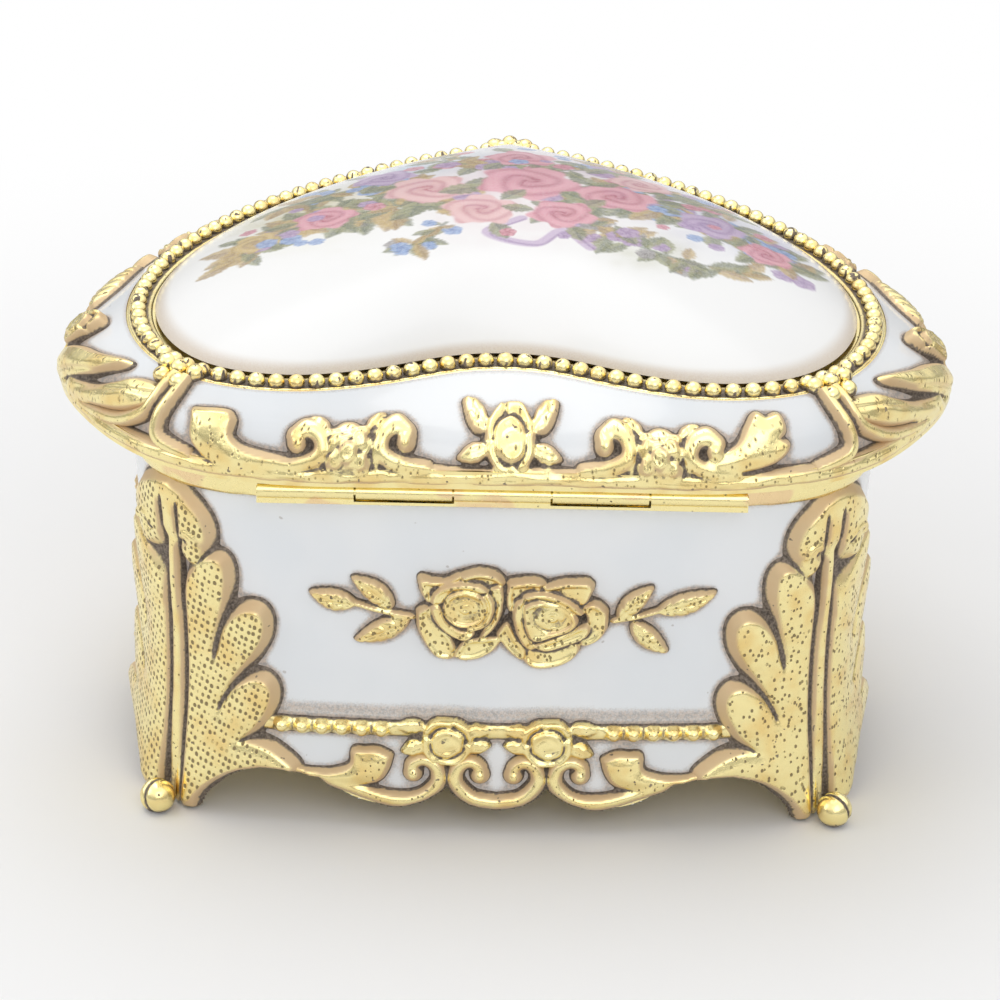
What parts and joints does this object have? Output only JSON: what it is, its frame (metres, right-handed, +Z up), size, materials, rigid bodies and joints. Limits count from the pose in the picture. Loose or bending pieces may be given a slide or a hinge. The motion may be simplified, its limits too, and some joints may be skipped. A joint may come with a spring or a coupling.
{
  "type": "music box",
  "caption": "Heart-shaped footed metal music box with a hinged lid, a domed porcelain plaque, cast relief ornament, a velvet tray and a key-wound movement.",
  "frame": {"origin": "centre of the overall box's footprint, on the surface that the feet stand on", "axes": "+Z up; -Y towards the hinge side with the cleft of the heart, +Y towards the point of the heart; +X to the right seen from the hinge side"},
  "size_m": [0.13, 0.1101, 0.0787],
  "materials": {
    "gold_plate": "satin gold plate over cast metal, grey-brown patina in the hollows",
    "polished_gold": "polished gold plate",
    "base_gold": "satin gold plate",
    "case_enamel": "glossy white enamel over cast metal",
    "porcelain": "glazed white porcelain with a pastel flower design",
    "velvet": "short-pile velvet",
    "mirror_glass": "silvered mirror",
    "board": "grey board",
    "movement_brass": "turned brass",
    "movement_steel": "nickel-plated steel",
    "spring_steel": "blued spring steel"
  },
  "bodies": {
    "case": {"case_shell": "case_enamel", "rim_band": "polished_gold", "leg_left": "gold_plate", "leg_right": "gold_plate", "leg_front": "gold_plate", "apron_back": "gold_plate", "apron_left": "gold_plate", "apron_right": "gold_plate", "bead_rail_back": "gold_plate", "bead_rail_left": "gold_plate", "bead_rail_right": "gold_plate", "spray_back": "gold_plate", "spray_left": "gold_plate", "spray_right": "gold_plate", "base_plate": "base_gold", "base_screws": "movement_steel", "case_hinge_leaf": "polished_gold", "hinge_pin": "polished_gold", "tray_floor": "board", "floor_cushion": "velvet", "wall_lining": "velvet", "bedplate": "movement_steel", "spring_housing": "movement_brass", "mainspring": "spring_steel", "cylinder_brackets": "movement_steel", "comb": "movement_steel", "comb_screws": "movement_steel", "governor_frame": "movement_steel", "movement_screws": "movement_steel", "rod_guide": "movement_brass"},
    "lid": {"lid_shell": "case_enamel", "lid_rim": "gold_plate", "lid_scrolls_back": "gold_plate", "lid_scrolls_left": "gold_plate", "lid_scrolls_right": "gold_plate", "lid_rib_left": "gold_plate", "lid_rib_right": "gold_plate", "lid_rib_front": "gold_plate", "bead_ring": "gold_plate", "plaque": "porcelain", "lid_pad": "velvet", "lid_mirror": "mirror_glass", "lid_hinge_leaf": "polished_gold"},
    "great_wheel": {"great_wheel": "movement_brass"},
    "winding": {"winding_arbor": "movement_steel", "winding_key": "polished_gold"},
    "cylinder": {"pin_cylinder": "movement_brass"},
    "governor": {"governor_wheel": "movement_brass"},
    "fly": {"fly": "movement_steel"},
    "stop": {"stop_rod": "movement_steel"}
  },
  "joints": [
    {"name": "lid_hinge", "type": "hinge", "parent": "case", "child": "lid", "pos_m": [0, -0.0528, 0.05425], "axis": [1, 0, 0], "range_deg": [0, 100]},
    {"name": "wheel_turn", "type": "hinge", "parent": "case", "child": "great_wheel", "pos_m": [-0.014, -0.0085, 0.021], "axis": [0, 0, 1], "continuous": true},
    {"name": "winding_turn", "type": "hinge", "parent": "great_wheel", "child": "winding", "pos_m": [-0.014, -0.0085, 0.012], "axis": [0, 0, 1], "continuous": true},
    {"name": "cylinder_turn", "type": "hinge", "parent": "case", "child": "cylinder", "pos_m": [0.0102, -0.0085, 0.02515], "axis": [1, 0, 0], "continuous": true},
    {"name": "governor_turn", "type": "hinge", "parent": "case", "child": "governor", "pos_m": [0.023, -0.0009, 0.02515], "axis": [1, 0, 0], "continuous": true},
    {"name": "fly_turn", "type": "hinge", "parent": "case", "child": "fly", "pos_m": [0.0248, 0.0043, 0.022], "axis": [0, 0, 1], "continuous": true},
    {"name": "stop_slide", "type": "slide", "parent": "case", "child": "stop", "axis": [0, 0, 1], "range_m": [0, 0.003]}
  ],
  "couplings": [
    {"joint": "cylinder_turn", "follows": "wheel_turn", "ratio": 3.6},
    {"joint": "governor_turn", "follows": "wheel_turn", "ratio": -13.5},
    {"joint": "fly_turn", "follows": "wheel_turn", "ratio": 324},
    {"joint": "stop_slide", "follows": "lid_hinge", "m_per_rad": 0.0017}
  ]
}
